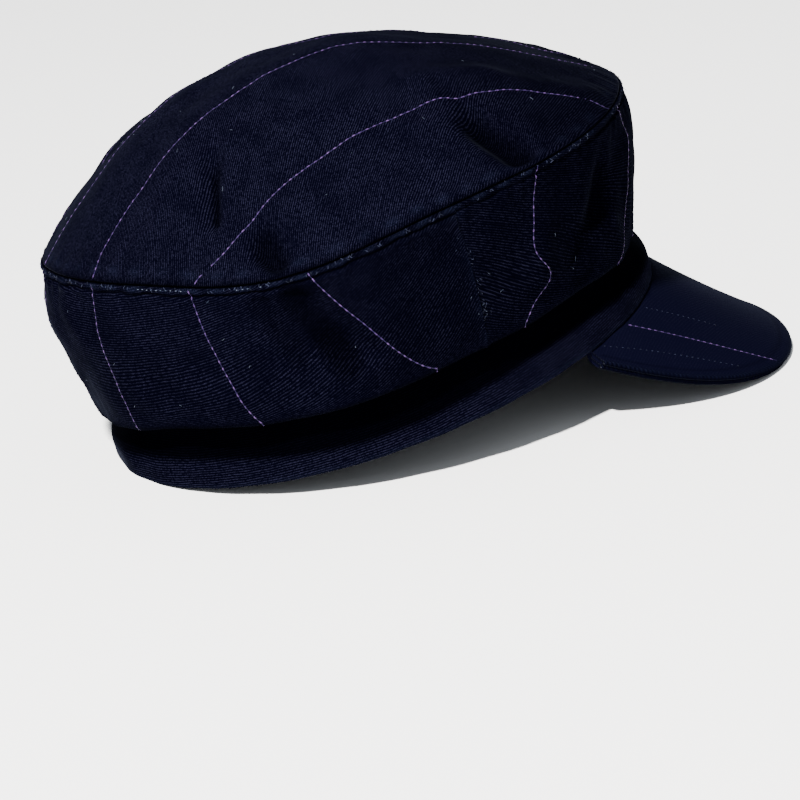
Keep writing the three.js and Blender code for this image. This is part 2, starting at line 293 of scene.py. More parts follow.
# Stitches: period, share of it that shows, radius, and height over the cloth, in mm
PIN_STITCH = dict(period=2.6, share=0.6, radius=0.24, rise=0.07)
QUILT_STITCH = dict(period=2.4, share=0.4, radius=0.13, rise=0.02)
FLECK_STITCH = dict(period=1.9, share=0.4, radius=0.13, rise=0.12)
LOW_RADIUS = 0.17
LOW_SINK = 0.06
FLECK_STOP = 3.945

# Loose yarns: the stop they lie at, how far they slant in degrees and climb in stops, and their radius
RIM_YARN = dict(stop=3.95, spread=0.03, slant=0.3, climb=0.02, radius=(0.08, 0.15))
SEAM_YARN = dict(stops=(2.3, 3.9), slant=0.25, climb=0.012, radius=(0.05, 0.10))
SEAM_YARN_OFFSET = 0.3
SEAM_YARN_SPREAD = 0.7
PALE_YARN_SHARE = 0.12
LINT_LENGTH = (0.4, 2.0)
LINT_CURL = 0.7
LINT_RADIUS = (0.035, 0.075)
LINT_LIFT = 0.12
LINT_DIP = 0.25

# How a stitch and a loose yarn lie along their length: shares of the rise, of the radius, and mm
STITCH_BOW = np.array([0, 0.75, 1, 1, 0.75, 0])
STITCH_TAPER = np.array([0.45, 0.9, 1, 1, 0.9, 0.45])
RIM_YARN_LIFT = np.array([-0.05, 0.08, 0.12, 0.12, 0.08, -0.05])
SEAM_YARN_LIFT = np.array([-0.05, 0.06, 0.09, 0.09, 0.06, -0.05])

# Floor, lamp and sky
FLOOR_HALF = 6.0
SUN_TURN = 242
SUN_HEIGHT = 58
SUN_DISTANCE = 3.0
SUN_SIZE = 0.16
SUN_POWER = 470
SUN_AIM = 0.06
SUN_COLOUR = (1.0, 0.98, 0.95)
FLOOR_COLOUR = (0.94, 0.94, 0.945, 1)
SKY = 0.70
SKY_COLOUR = (0.90, 0.95, 1, 1)


def radians(angle):
    return np.asarray(angle, dtype=float) * (math.pi / 180)


def smoothstep(x, low, high):
    u = np.clip((np.asarray(x, dtype=float) - low) / (high - low), 0, 1)
    return u * u * (3 - 2 * u)


def lerp(a, b, u):
    return a + (b - a) * u


def bell(x, middle, width):
    """A smooth bump that is 1 in its middle."""
    return np.exp(-((x - middle) / width) ** 2)


def bump(x, height, middle, width):
    return height * bell(x, middle, width)


def stations(stretches):
    """Steps through stretches given as (first, last, count), with the places they share once."""
    runs = [np.linspace(*stretch) for stretch in stretches]
    return np.concatenate([run[:-1] for run in runs[:-1]] + runs[-1:])


def unit(vectors):
    return vectors / np.maximum(np.linalg.norm(vectors, axis=-1, keepdims=True), 1e-12)


def length_along(path):
    """Length of a path from its start to each of its points."""
    return np.concatenate([[0], np.cumsum(np.linalg.norm(np.diff(path, axis=0), axis=1))])


def catmull(a, b, c, d, u):
    linear = c - a
    square = 2 * a - 5 * b + 4 * c - d
    cube = 3 * b - a - 3 * c + d
    return 0.5 * (2 * b + linear * u + square * u * u + cube * u * u * u)


def crown_column(name):
    return CROWN[:, CROWN_COLUMNS.index(name)]


def crown_at(column, angle):
    values = crown_column(column)
    count = len(values)
    place = (np.asarray(angle, dtype=float) % 360) / (360 / count)
    row = np.floor(place).astype(int)
    pick = [values[(row + step) % count] for step in (-1, 0, 1, 2)]
    return catmull(*pick, place - row)


def plan_frame(angle):
    """Point of the band's oval and its outward normal, in plan."""
    t = radians(angle)
    a, b = BAND_LENGTH / 2, BAND_WIDTH / 2
    x = a * np.cos(t)
    y = b * np.sin(t) * (1 - BAND_TAPER * np.cos(t))
    tx = -a * np.sin(t)
    ty = b * (np.cos(t) - BAND_TAPER * np.cos(2 * t))
    length = np.hypot(tx, ty)
    return x, y, ty / length, -tx / length


def plan_point(angle, out, z):
    x, y, nx, ny = plan_frame(angle)
    shape = np.broadcast(x, out, z)
    return np.stack([np.broadcast_to(v, shape.shape) for v in (x + out * nx, y + out * ny, z)], -1)


def band_out(angle, z):
    """How far the band's outer face stands beyond the oval: it bends from its foot to its top."""
    return lerp(crown_at("foot", angle), crown_at("top", angle), smoothstep(z, BEND_FROM, BEND_TO))


# About the length of a degree round the band, in mm
DEGREE_ARC = math.radians(BAND_LENGTH / 2)
TILT = math.radians(REST_TILT)
TURN = np.array([
    [math.cos(TILT), 0, -math.sin(TILT)],
    [0, 1, 0],
    [math.sin(TILT), 0, math.cos(TILT)],
])


def band_shift():
    """The move, in mm, that sets the turned band frame in the part's frame."""
    columns = SIDE_SEAM + 5 * np.arange(72)
    rows = (0, BEND_FROM, BEND_FROM + 4, BEND_FROM + 7, BEND_FROM + 10, BEND_TO, BAND_HEIGHT)
    ring = np.concatenate([plan_point(columns, band_out(columns, z), z) for z in rows]) @ TURN.T
    low, high = (np.array(c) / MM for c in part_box("headband"))
    shift = high - ring.max(0)
    shift[1] = (low[1] + high[1]) / 2 - (ring[:, 1].min() + ring[:, 1].max()) / 2
    return shift


SHIFT = band_shift()


def to_part(points):
    return (np.asarray(points) @ TURN.T + SHIFT) * MM


def link(name, data):
    obj = bpy.data.objects.new(name, data)
    bpy.context.scene.collection.objects.link(obj)
    return obj


def set_at(obj, axes, place):
    matrix = np.eye(4)
    matrix[:3, :3] = np.stack(axes, 1)
    matrix[:3, 3] = place
    obj.matrix_world = Matrix(matrix.tolist())


# The view as it was fitted to the photograph, about the middle of the band's lower edge
CAMERA_TURN = 18.156
CAMERA_FALL = 22.028
CAMERA_ROLL = 17.675
CAMERA_FAR = 1257.4
PIXELS_PER_MM = 2.782
CENTRE_PIXEL = (388.288, 356.593)
FRAME_PIXELS = 800
SENSOR_MM = 36


def add_camera():
    turn, fall, roll = (math.radians(v) for v in (CAMERA_TURN, CAMERA_FALL, CAMERA_ROLL))
    level = math.cos(fall)
    forward = np.array([math.sin(turn) * level, math.cos(turn) * level, -math.sin(fall)])
    right = np.array([math.cos(turn), -math.sin(turn), 0])
    up = np.array([math.sin(turn) * math.sin(fall), math.cos(turn) * math.sin(fall), math.cos(fall)])
    right, up = (
        math.cos(roll) * right - math.sin(roll) * up,
        math.sin(roll) * right + math.cos(roll) * up,
    )
    half = FRAME_PIXELS / 2
    offset_x = (CENTRE_PIXEL[0] - half) / PIXELS_PER_MM
    offset_y = (half - CENTRE_PIXEL[1]) / PIXELS_PER_MM
    place = -CAMERA_FAR * forward - offset_x * right - offset_y * up
    data = bpy.data.cameras.new("camera")
    data.sensor_width = SENSOR_MM
    data.lens = PIXELS_PER_MM * CAMERA_FAR * SENSOR_MM / FRAME_PIXELS
    data.clip_start = 0.05
    data.clip_end = 50
    camera = link("camera", data)
    set_at(camera, [TURN @ right, TURN @ up, -(TURN @ forward)], to_part(place))
    bpy.context.scene.camera = camera


def segment_distance(x, y, start, end, scale_x=1.0):
    """Distance from a line between two points, and how far along it the nearest point is."""
    ax, ay = start[0] * scale_x, start[1]
    bx, by = end[0] * scale_x, end[1]
    dx, dy = bx - ax, by - ay
    along = ((x * scale_x - ax) * dx + (y - ay) * dy) / (dx * dx + dy * dy)
    u = np.clip(along, 0, 1)
    return np.hypot(x * scale_x - ax - u * dx, y - ay - u * dy), along


def grown(fold, along):
    return smoothstep(along, *fold["grows"]) if fold["grows"] else 1


def fold_shade(folds, x, y, scale_x=1.0):
    """How much painted shade a fold gives a point, from 0 to 1: most deep in the fold."""
    total = 0
    for fold in folds:
        if fold["shade"]:
            distance, along = segment_distance(x, y, fold["start"], fold["end"], scale_x)
            depth = np.exp(-(distance / fold["width"]) ** 4)
            total = np.maximum(total, fold["shade"] * grown(fold, along) * depth)
    return total


def fold_depth(folds, x, y, scale_x=1.0):
    total = 0
    for fold in folds:
        distance, along = segment_distance(x, y, fold["start"], fold["end"], scale_x)
        total = total + fold["depth"] * bell(distance, 0, fold["width"]) * grown(fold, along)
    return total


class Waves:
    """Smooth random waves over a sheet: a sum of sines in random directions."""

    def __init__(self, wavelength, height, count=10, spread=0.35):
        turns = RNG.uniform(0, 2 * math.pi, count)
        sizes = 2 * math.pi / (wavelength * RNG.uniform(1 - spread, 1 + spread, count))
        self.kx = sizes * np.cos(turns)
        self.ky = sizes * np.sin(turns)
        self.phase = RNG.uniform(0, 2 * math.pi, count)
        self.height = height * math.sqrt(2 / count)

    def __call__(self, x, y=0):
        total = 0
        for kx, ky, phase in zip(self.kx, self.ky, self.phase):
            total = total + np.sin(kx * x + ky * y + phase)
        return self.height * total


class Ripples:
    """Puckers along a seam: sines of its length whose height swells and fades."""

    def __init__(self, lengths, height):
        self.lengths = lengths
        self.phase = RNG.uniform(0, 2 * math.pi, len(lengths))
        self.swell = [Waves(3.5 * length, 1.0, count=5) for length in lengths]
        self.height = height / math.sqrt(len(lengths))

    def __call__(self, s):
        total = 0
        for length, phase, swell in zip(self.lengths, self.phase, self.swell):
            total = total + np.sin(2 * math.pi * s / length + phase) * (0.6 + 0.6 * swell(s))
        return self.height * total


# Arc length round the rim seam at each angle, from a fine polygon
ROUND = np.linspace(-180, 540, 2881)
RIM_RING = plan_point(ROUND, crown_at("rimOut", ROUND), crown_at("rimZ", ROUND))
RIM_ARC = length_along(RIM_RING)


def rim_arc(angle):
    return np.interp(angle, ROUND, RIM_ARC)


MIDDLE_RIM_Z = crown_column("rimZ").mean()
top_swell = Waves(62, 0.55)
top_slack = Waves(27, 0.22, count=14)
top_crumple = Waves(11, 0.05, count=16)
side_swell = Waves(48, 0.45)
side_slack = Waves(20, 0.2, count=14)
side_crumple = Waves(9, 0.05, count=16)
rim_pucker = Ripples([5.6, 8.3, 12.5], 0.34)
rim_pucker_top = Ripples([6.4, 9.8, 15.0], 0.26)
second_line = Waves(14, 0.6)
band_waves = Waves(34, 0.28)
# Draws passed over, which set where the threads below fall
PASSED_DRAWS = 30
RNG.uniform(size=PASSED_DRAWS)


def top_cloth(angle, reach):
    """The outer face of the crown's top: reach is 1 at the rim and 0 in the middle."""
    angle, reach = np.broadcast_arrays(angle, reach)
    rim_z = crown_at("rimZ", angle)
    rim = plan_point(angle, crown_at("rimOut", angle), rim_z)
    x = rim[..., 0] * reach
    y = rim[..., 1] * reach
    lean = 1 - DOME_LEAN_BACK * x / 100 - DOME_LEAN_RIGHT * y / 100
    puff = DOME_RISE * (1 - reach * reach) * lean
    flat = MIDDLE_RIM_Z + (rim_z - MIDDLE_RIM_Z) * reach * reach
    fade = smoothstep(1 - reach, 0, TOP_FADE)
    z = flat + puff - fade * fold_depth(TOP_FOLDS, x, y)
    z = z + fade * (top_swell(x, y) + top_slack(x, y) + top_crumple(x, y))
    edge = (1 - reach) * TOP_REACH
    pucker = rim_pucker_top(rim_arc(angle)) * bell(edge, *TOP_PUCKER)
    z = z + pucker * smoothstep(edge, 0, 2)
    return np.stack([x, y, z], -1)


def side_base(angle, v, detail=1.0):
    """The outer face of the crown's side: 0 seat, 1 knee, 2 lower fold, 3 fullest part, 4 rim."""
    angle, v = np.broadcast_arrays(angle, v)
    fold_out, fold_z = crown_at("foldOut", angle), crown_at("foldZ", angle)
    rim_out, rim_z = crown_at("rimOut", angle), crown_at("rimZ", angle)
    belly_out = crown_at("bellyOut", angle)
    belly_z = lerp(BELLY_FROM, rim_z, BELLY_SHARE)
    seat_out = crown_at("top", angle) - SEAT_ON_BAND
    knee_out = crown_at("top", angle) + KNEE_OUT
    seat_z = BAND_HEIGHT + GAP + 0 * seat_out
    outs = np.stack([
        2 * seat_out - knee_out, seat_out, knee_out, fold_out, belly_out, rim_out,
        2 * rim_out - belly_out,
    ])
    heights = np.stack([
        seat_z, seat_z, seat_z, fold_z, belly_z, rim_z, rim_z + 0.8 * (rim_z - belly_z),
    ])
    stretch = np.clip(np.floor(v), 0, 3).astype(int)
    u = v - stretch

    def curve(knots):
        return catmull(*[np.take_along_axis(knots, (stretch + k)[None], 0)[0] for k in range(4)], u)

    out, z = curve(outs), curve(heights)
    fade = smoothstep(rim_z - z, 0, 8) * smoothstep(z, 30, 38)
    out = out - fade * fold_depth(SIDE_FOLDS, (angle + 360) % 360, z, DEGREE_ARC)
    s = rim_arc(angle)
    soft = smoothstep(v, 1.1, 2.0) * smoothstep(v, 4.0, 3.7)
    out = out + detail * soft * (side_swell(s, z) + side_slack(s, z) + side_crumple(s, z))
    below = rim_z - z + GROOVE_SWAY * second_line(s)
    ruck = 1 + GROOVE_RUCK * second_line(s, 40)
    lip = bump(below, *RIM_LIP) + ruck * bump(below, *RIM_GROOVE) + bump(below, *RIM_LEDGE)
    pucker = rim_pucker(s) * bell(below, *SIDE_PUCKER) * smoothstep(below, 0, 1.5)
    out = out + detail * (lip + pucker) * smoothstep(v, 2.5, 3.2)
    return plan_point(angle, out, z)


def peak_cloth(side, v, depth=0.0):
    """The peak: side from -1 to 1, v from the band to the outer edge, depth down from its face."""
    side, v = np.broadcast_arrays(side, v)
    angle = PEAK_HALF_ANGLE * side
    reach = PEAK_REACH * (1 - np.abs(side) ** PEAK_ROUNDING) ** PEAK_CORNER
    run = reach * v
    slope = math.radians(PEAK_SLOPE)
    fall = run * math.tan(slope) * (1 - PEAK_LIFT * v)
    ray = radians(PEAK_FAN * angle)
    root = plan_point(angle, 0, -GAP)
    across = depth * math.sin(slope)
    down = depth * math.cos(slope) * np.minimum(1, v * 6)
    x = root[..., 0] + (run - across) * np.cos(ray)
    y = root[..., 1] + (run - across) * np.sin(ray)
    return np.stack([x, y, root[..., 2] - fall - down], -1)


def grid_normals(points, closed):
    """Normals of a grid [row, column, xyz] by differences between neighbours."""
    if closed:
        round_ = np.roll(points, -1, 1) - np.roll(points, 1, 1)
    else:
        round_ = np.gradient(points, axis=1)
    up = np.gradient(points, axis=0)
    return unit(np.cross(round_, up))


def grid_faces(rows, columns, close_rows, close_columns, first=0, flip=False):
    r = np.arange(rows if close_rows else rows - 1)
    c = np.arange(columns if close_columns else columns - 1)
    rr, cc = np.meshgrid(r, c, indexing="ij")
    r2, c2 = (rr + 1) % rows, (cc + 1) % columns
    quads = np.stack([rr * columns + cc, rr * columns + c2, r2 * columns + c2, r2 * columns + cc], -1)
    quads = quads.reshape(-1, 4) + first
    return (quads[:, ::-1] if flip else quads).tolist()


def make_mesh(name, points, faces, uv=None, wear=None, painted_shade=None):
    """A smooth mesh. uv is its cloth laid flat, in mm.

    wear is how far each point is rubbed pale, and the last share how far painted shade darkens it.
    """
    mesh = bpy.data.meshes.new(name)
    mesh.from_pydata(to_part(points).tolist(), [], faces)
    if uv is not None:
        layer = mesh.uv_layers.new(name="cloth")
        loops = np.empty(len(mesh.loops), dtype=np.int32)
        mesh.loops.foreach_get("vertex_index", loops)
        layer.data.foreach_set("uv", np.asarray(uv, dtype=np.float32)[loops].ravel())
    for key, share in (("wear", wear), ("painted_shade", painted_shade)):
        if share is not None:
            values = mesh.attributes.new(key, "FLOAT", "POINT")
            values.data.foreach_set("value", np.asarray(share, dtype=np.float32).ravel())
    mesh.polygons.foreach_set("use_smooth", [True] * len(mesh.polygons))
    mesh.update()
    return link(name, mesh)


def dress(obj, material, slot, *nodes):
    obj.data.materials.append(material)
    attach(obj, "root")
    if nodes:
        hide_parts(*nodes)
    return obj


class Nodes:
    """A material's shader nodes, added one after another and joined by their sockets."""

    def __init__(self, name):
        self.material = bpy.data.materials.new(name)
        self.material.use_nodes = True
        self.tree = self.material.node_tree
        self.shader = self.tree.nodes["Principled BSDF"]

    def put(self, socket, value):
        if isinstance(value, bpy.types.NodeSocket):
            self.tree.links.new(value, socket)
        else:
            socket.default_value = value

    def fill(self, node, values):
        for key, value in values.items():
            self.put(node.inputs[key], value)

    def node(self, kind, *values, **settings):
        node = self.tree.nodes.new(kind)
        for key, value in settings.items():
            setattr(node, key, value)
        for socket, value in zip(node.inputs, values):
            if value is not None:
                self.put(socket, value)
        return node

    def math(self, operation, a, b=0.0):
        return self.node("ShaderNodeMath", a, b, operation=operation).outputs[0]

    def plus(self, a, b):
        return self.math("ADD", a, b)

    def times(self, a, b):
        return self.math("MULTIPLY", a, b)

    def noise(self, vector, scale, detail=2.0, roughness=0.5):
        node = self.node("ShaderNodeTexNoise", noise_dimensions="2D")
        self.fill(node, {"Vector": vector, "Scale": scale, "Detail": detail, "Roughness": roughness})
        return node.outputs[0]

    def bump(self, height, strength, distance):
        node = self.node("ShaderNodeBump")
        self.fill(node, {"Strength": strength, "Distance": distance, "Height": height})
        return node.outputs[0]

    def ramp(self, value, low, high, bottom=0.0, top=1.0):
        node = self.node("ShaderNodeMapRange", interpolation_type="SMOOTHSTEP")
        self.fill(node, {"Value": value, "From Min": low, "From Max": high})
        self.fill(node, {"To Min": bottom, "To Max": top})
        return node.outputs["Result"]

    def mix(self, share, a, b):
        node = self.node("ShaderNodeMix", data_type="RGBA")
        self.put(node.inputs[0], share)
        self.put(node.inputs[6], (*a, 1) if isinstance(a, tuple) else a)
        self.put(node.inputs[7], (*b, 1) if isinstance(b, tuple) else b)
        return node.outputs[2]


YARN_DARK = (0.0003, 0.0003, 0.0016)
# The colour of painted shade, which stands in for shade in creases, grooves and under the crown
YARN_PAINTED_SHADE = (0.0001, 0.0001, 0.0004)
YARN_LIGHT = (0.0066, 0.0065, 0.0152)
YARN_WORN = (0.008, 0.010, 0.024)
SHEEN = 0.014
SHEEN_TINT = (0.62, 0.70, 1.0, 1)
SHEEN_ROUGHNESS = 0.25

# Twill: sway of its lines, stretch of its flecks along them, and scales of what varies it, per mm
SWAY = 1.1
FLECK_STRETCH = 0.75
SWAY_SCALE = 0.05
FLECK_SCALE = 1.15
GRAIN_SCALE = 2.7
MOTTLE_SCALE = 0.085
LINE_SHARE = 0.44
# How far painted shade darkens the cloth at most
PAINTED_SHADE_SHARE = 0.93
GRAIN_RELIEF = 0.3
# What a noise value brings about: its lower and upper end, and what each of them gives
LINES_SHOW = (0.46, 0.84)
MOTTLE_SHOWS = (0.25, 0.75, 0.55, 1.35)
GRAIN_SHOWS = (0.35, 0.7, 0.2, 2.0)
GRAIN_RUBS = (0.4, 0.72, 0.05, 1.0)
MOTTLE_ROUGHNESS = (0.2, 0.8, 0.78, 0.92)
STRANDS_SHOW = (0.35, 0.65)
# Strength of a relief, and its height in metres
TWILL_RELIEF = (0.55, 0.00016)
THREAD_RELIEF = (0.4, 0.00005)
THREAD_SCALE = 900


def denim(name, line_turn, period, contrast, yarn_dark=YARN_DARK, sheen=SHEEN):
    """Twill: pale flecks in slanting lines over dark yarn, mottled, paler where it is rubbed, and
    darkened by painted shade.
    """
    nodes = Nodes(name)
    cloth = nodes.node("ShaderNodeUVMap", uv_map="cloth").outputs[0]
    split = nodes.node("ShaderNodeSeparateXYZ", cloth)
    u, v = split.outputs[0], split.outputs[1]
    turn = math.radians(line_turn)
    sway = nodes.times(nodes.noise(cloth, SWAY_SCALE), SWAY)
    along = nodes.plus(nodes.times(u, math.cos(turn)), nodes.times(v, math.sin(turn)))
    across = nodes.math("SUBTRACT", nodes.times(v, math.cos(turn)), nodes.times(u, math.sin(turn)))
    across = nodes.plus(across, sway)
    line = nodes.math("COSINE", nodes.times(across, 2 * math.pi / period))
    line = nodes.plus(nodes.times(line, 0.5), 0.5)
    stretched = nodes.node("ShaderNodeCombineXYZ", nodes.times(along, FLECK_STRETCH), across)
    fleck = nodes.noise(stretched.outputs[0], FLECK_SCALE, 1.0, 0.6)
    grain = nodes.noise(cloth, GRAIN_SCALE, 2.0, 0.7)
    mottle = nodes.noise(cloth, MOTTLE_SCALE, 3.0, 0.6)
    raised = nodes.plus(nodes.times(line, LINE_SHARE), nodes.times(fleck, 1 - LINE_SHARE))
    shown = nodes.ramp(raised, *LINES_SHOW, 0.0, contrast)
    shown = nodes.times(shown, nodes.ramp(mottle, *MOTTLE_SHOWS))
    shown = nodes.times(shown, nodes.ramp(grain, *GRAIN_SHOWS))
    colour = nodes.mix(shown, yarn_dark, YARN_LIGHT)
    wear = nodes.node("ShaderNodeAttribute", attribute_name="wear").outputs["Fac"]
    rubbed_away = nodes.times(wear, nodes.ramp(grain, *GRAIN_RUBS))
    colour = nodes.mix(rubbed_away, colour, YARN_WORN)
    # Painted shade: the cloth is mixed towards a near-black colour where the mesh marks shade
    painted_shade = nodes.node("ShaderNodeAttribute", attribute_name="painted_shade").outputs["Fac"]
    colour = nodes.mix(nodes.times(painted_shade, PAINTED_SHADE_SHARE), colour, YARN_PAINTED_SHADE)
    relief = nodes.plus(raised, nodes.times(grain, GRAIN_RELIEF))
    nodes.fill(nodes.shader, {
        "Base Color": colour,
        "Normal": nodes.bump(relief, *TWILL_RELIEF),
        "Roughness": nodes.ramp(mottle, *MOTTLE_ROUGHNESS),
        "Specular IOR Level": 0.0,
        "Sheen Weight": sheen,
        "Sheen Roughness": SHEEN_ROUGHNESS,
        "Sheen Tint": SHEEN_TINT,
    })
    return nodes.material


def thread(name, dark, light, sheen):
    """Twisted thread: its colour varies from strand to strand along it."""
    nodes = Nodes(name)
    place = nodes.node("ShaderNodeTexCoord").outputs["Object"]
    noise = nodes.node("ShaderNodeTexNoise")
    nodes.fill(noise, {"Vector": place, "Scale": THREAD_SCALE, "Detail": 2})
    strand = nodes.ramp(noise.outputs[0], *STRANDS_SHOW)
    nodes.fill(nodes.shader, {
        "Base Color": nodes.mix(strand, dark, light),
        "Normal": nodes.bump(noise.outputs[0], *THREAD_RELIEF),
        "Roughness": 0.6,
        "Specular IOR Level": 0.1,
        "Sheen Weight": sheen,
    })
    return nodes.material


PEAK_YARN = (0.0011, 0.0011, 0.0044)
TOP_DENIM = denim("top_denim", line_turn=40, period=0.78, contrast=0.8, sheen=0.022)
SIDE_DENIM = denim("side_denim", line_turn=4.5, period=0.93, contrast=0.6)
BAND_DENIM = denim("band_denim", line_turn=3, period=0.88, contrast=0.95)
PEAK_DENIM = denim("peak_denim", 34, 0.8, 0.1, yarn_dark=PEAK_YARN, sheen=0.028)
PURPLE = thread("purple_thread", (0.016, 0.008, 0.040), (0.060, 0.031, 0.098), 0.0)
PURPLE_DARK = thread("purple_thread_low", (0.004, 0.002, 0.015), (0.009, 0.004, 0.030), 0.0)
NAVY = thread("navy_thread", (0.002, 0.003, 0.010), (0.012, 0.015, 0.035), 0.02)
PALE = thread("pale_thread", (0.015, 0.022, 0.040), (0.050, 0.060, 0.085), 0.03)

# How far the top's cloth reaches along its dome, against the distance in plan
DOME_SHARE = np.linspace(0, 1.2, 121)
DOME_ARC = np.cumsum(np.hypot(1, 2 * DOME_RISE / 95 * DOME_SHARE)) * 0.01


def top_uv(angle, reach):
    rim = plan_point(angle, crown_at("rimOut", angle), 0)
    stretch = np.interp(reach, DOME_SHARE[1:], DOME_ARC[1:] / DOME_SHARE[1:])
    return rim[..., :2] * (reach * stretch)[..., None]


def stripe_angles(stripes, v):
    """The angles of the stripes at v, a row of them for each v."""
    rim, belly, fold, bulge = np.array(stripes, dtype=float).T
    v = np.atleast_1d(v)[:, None]
    u = np.clip(v - 3, -1, 1)
    smooth = belly + (rim - fold) / 2 * u + (rim + fold - 2 * belly) / 2 * u * u
    return smooth + bulge * bell(v, *STRIPE_BULGE)


def side_uv(stripes, angles, stops, grain):
    """Cloth of a side panel: across its stripes and along them, in mm.

    grain holds the angle at which the weft runs level, and how fast it turns from there.
    """
    rows = stripe_angles(stripes, stops)
    fine = np.linspace(angles[0], angles[-1], 400)
    lean = radians(np.clip((fine - grain[0]) * grain[1], -MOST_LEAN, MOST_LEAN))
    climb = np.concatenate([[0], np.cumsum(np.sin(lean[1:]) * np.diff(rim_arc(fine)))])
    order = np.arange(-1, len(stripes) + 1)
    uv = np.empty((len(stops), len(angles), 2))
    for row, places in enumerate(rows):
        first = 2 * places[0] - places[1]
        last = 2 * places[-1] - places[-2]
        uv[row, :, 0] = STRIPE_SPACING * np.interp(angles, [first, *places, last], order)
        height = PANEL_CLOTH_STOP * (stops[row] - 3)
        uv[row, :, 1] = height * np.cos(np.interp(angles, fine, lean)) - np.interp(angles, fine, climb)
    return uv


def seam_frame(angle):
    """Along the rim seam: its line, the way out between both faces, and the way down over it."""
    line = plan_point(angle, crown_at("rimOut", angle), crown_at("rimZ", angle))
    inside = top_cloth(angle, 0.97) - line
    below = side_base(angle, 3.8, 0) - line
    along = unit(np.roll(line, -1, 0) - np.roll(line, 1, 0))
    n_top = unit(np.cross(along, inside))
    n_side = unit(np.cross(below, along))
    out = unit(n_top + n_side)
    down = unit(unit(below) - unit(inside))
    return line, out, down


def bezier(a, b, c, steps):
    u = np.linspace(0, 1, steps)[:, None, None]
    return (1 - u) ** 2 * a + 2 * u * (1 - u) * b + u * u * c


def turned_edge(last_row, line, out, down, proud):
    """Rows of cloth that roll in over the rim seam and end in the flange inside it."""
    edge = line + down * (GAP / 2)
    roll = bezier(last_row, edge + out * proud, edge - out * SEAM_ROLL, ROLL_STEPS)[1:]
    flange = edge - out * FLANGE
    fillet = edge - out * (CLOTH + FLANGE_FILLET) + down * FLANGE_CLOTH
    return np.concatenate([roll, [flange, flange + down * FLANGE_CLOTH, fillet]])


wear_along = Waves(9, 0.35, count=12)


def rubbed(usual, s):
    """How far cloth is rubbed, which comes and goes along it."""
    return np.clip(usual + wear_along(s), 0, 1)


def crown_top():
    columns = RING_COLUMNS
    angles = np.arange(columns) * (360 / columns)
    reaches = stations(TOP_ROWS)
    outer = top_cloth(angles[None, :], reaches[:, None])
    line, out, down = seam_frame(angles)
    turned = turned_edge(outer[0], line, out, -down, 0)
    inner_reaches = stations(TOP_INNER_ROWS)
    coarse = top_cloth(angles[None, :], inner_reaches[:, None])
    inner = coarse - grid_normals(coarse, True) * CLOTH
    # from the outer middle, over the rim, round the flange, to the inner middle
    section = np.concatenate([outer[::-1], turned, inner])
    rows = len(section)
    faces = grid_faces(rows, columns, False, True, flip=True)
    middle = top_cloth(np.array([0.0]), np.array([0.0]))
    points = np.concatenate([section.reshape(-1, 3), middle, middle - np.array([0, 0, CLOTH])])
    a, b = len(points) - 2, len(points) - 1
    last = (rows - 1) * columns
    for c in range(columns):
        n = (c + 1) % columns
        faces.append((a, c, n))
        faces.append((b, last + n, last + c))
    rolled = np.linspace(0.987, 1, ROLL_STEPS - 1)
    places = np.concatenate([reaches[::-1], rolled, [1.04, 1.05, 1.03], inner_reaches])
    uv = top_uv(angles[None, :], places[:, None]).reshape(-1, 2)
    uv = np.concatenate([uv, np.zeros((2, 2))])
    edge = ((1 - places) * TOP_REACH)[:, None]
    wear = bump(edge, *TOP_WEAR) * rubbed(TOP_RUBBED, rim_arc(angles))
    # Painted shade: the top is darker at the rim seam, in its deeper creases and towards its front
    flat = section[..., :2]
    creased = fold_shade(TOP_FOLDS, flat[..., 0], flat[..., 1])
    front = TOP_FRONT_DARK * smoothstep(flat[..., 0], *TOP_FRONT)
    painted_shade = np.maximum.reduce([bell(edge, 0, TOP_SEAM_DARK) + 0 * front, creased, front])
    # the two middle points are neither rubbed nor dark
    wear, painted_shade = (np.append(share, [0, 0]) for share in (wear, painted_shade))
    obj = make_mesh("crown_top_cloth", points, faces, uv, wear, painted_shade)
    return dress(obj, TOP_DENIM, "striped_denim", "crown_top")


def side_wear(angles, places, beside):
    """How far a side panel is rubbed, along the rim seam and beside its ends."""
    arc = rim_arc(angles)[None, :]
    below = (4 - places)[:, None] * PANEL_STOP
    wear = bump(below, *RIM_WEAR) * rubbed(RIM_RUBBED, arc)
    ends = END_WEAR * np.exp(-beside[None, :] / END_WEAR_REACH) * (below > END_WEAR_FROM)
    return np.maximum(wear, ends * rubbed(END_RUBBED, below))


def side_painted_shade(angles, places):
    """Painted shade on a side panel: tucked in, at the rim, in its groove and folds, over the whole
    front panel and towards the side seam at the wearer's right.
    """
    arc = rim_arc(angles)[None, :]
    below = (4 - places)[:, None] * PANEL_STOP
    tucked = smoothstep(places, *TUCKED)[:, None]
    front = smoothstep(angles, *RIGHT_FRONT) + RIGHT_BACK_SHARE * smoothstep(angles, *RIGHT_BACK)
    groove = bell(below + GROOVE_SWAY * second_line(arc), *RIM_GROOVE[1:])
    groove = groove * (GROOVE_DARK + GROOVE_DARK_IN_FRONT * front)
    height = lerp(BELLY_FROM, USUAL_RIM_Z, BELLY_SHARE) + PANEL_STOP * (places[:, None] - 3)
    creased = CREASE_DARK * fold_shade(SIDE_FOLDS, (angles[None, :] + 360) % 360, height, DEGREE_ARC)
    panel_shade = PANEL_SHADE * (smoothstep(angles, *NEAR_SEAM) + (angles < FAR_SEAM))
    parts = [tucked, bell(below, 0, RIM_SEAM_DARK), groove, creased, panel_shade[None, :]]
    return np.maximum.reduce(np.broadcast_arrays(*parts))


